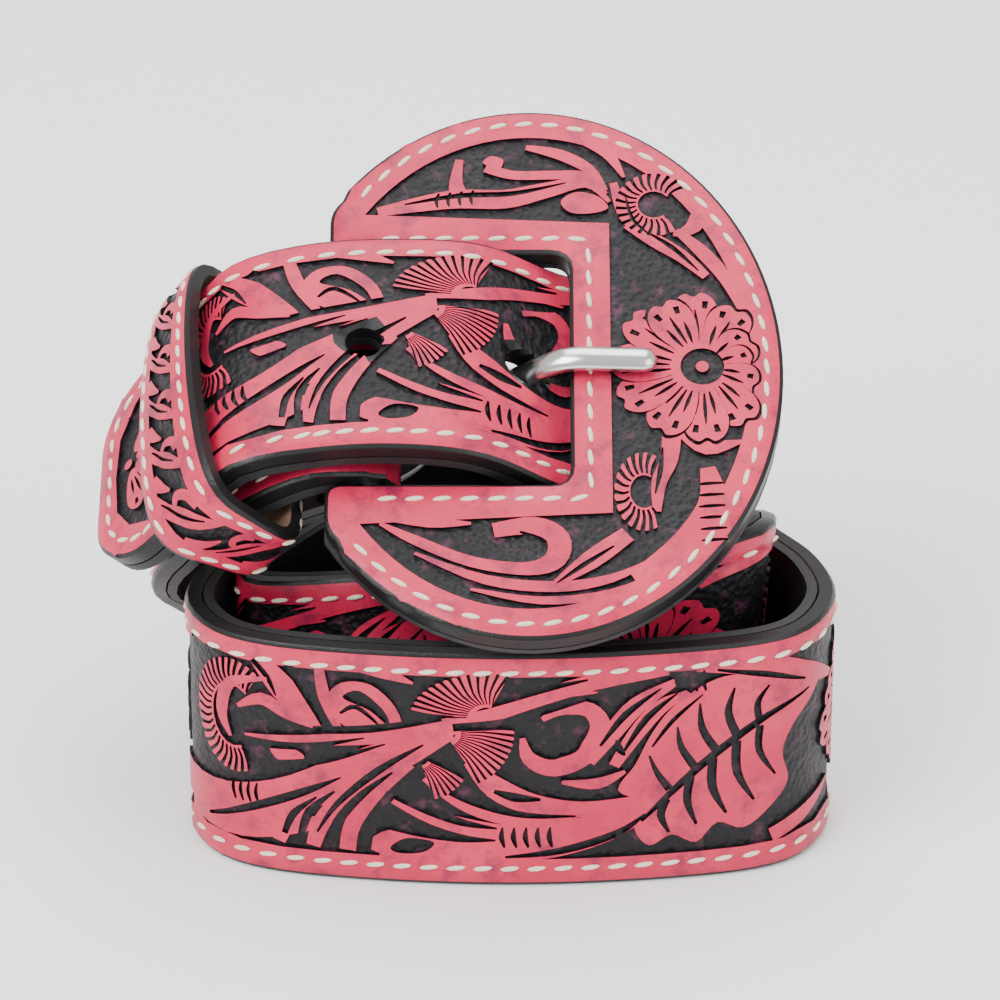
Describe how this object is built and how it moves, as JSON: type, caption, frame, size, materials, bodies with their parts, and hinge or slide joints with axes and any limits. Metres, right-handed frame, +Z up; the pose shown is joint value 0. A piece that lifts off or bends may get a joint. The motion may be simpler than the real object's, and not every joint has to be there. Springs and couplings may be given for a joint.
{
  "type": "western tooled belt",
  "caption": "Western tooled leather belt, coiled on its edge with its keeper and C-shaped leather-covered buckle done up, nickel prong through the strap.",
  "frame": {"origin": "middle of the footprint, on the surface that the coiled belt stands on", "axes": "+X to the right along the front of the coil, +Y to the back, +Z up"},
  "size_m": [0.1086, 0.0818, 0.0898],
  "materials": {
    "tooled_leather": "pink dyed, tooled, background dyed black",
    "black_leather": "matt",
    "nickel": "polished nickel plate",
    "thread": "waxed thread"
  },
  "bodies": {
    "root": {"tooled_strap": "tooled_leather", "strap_lining": "black_leather", "keeper": "tooled_leather", "buckle_cover": "tooled_leather", "buckle_backing": "black_leather", "buckle_bar": "nickel", "prong": "nickel"}
  },
  "joints": []
}
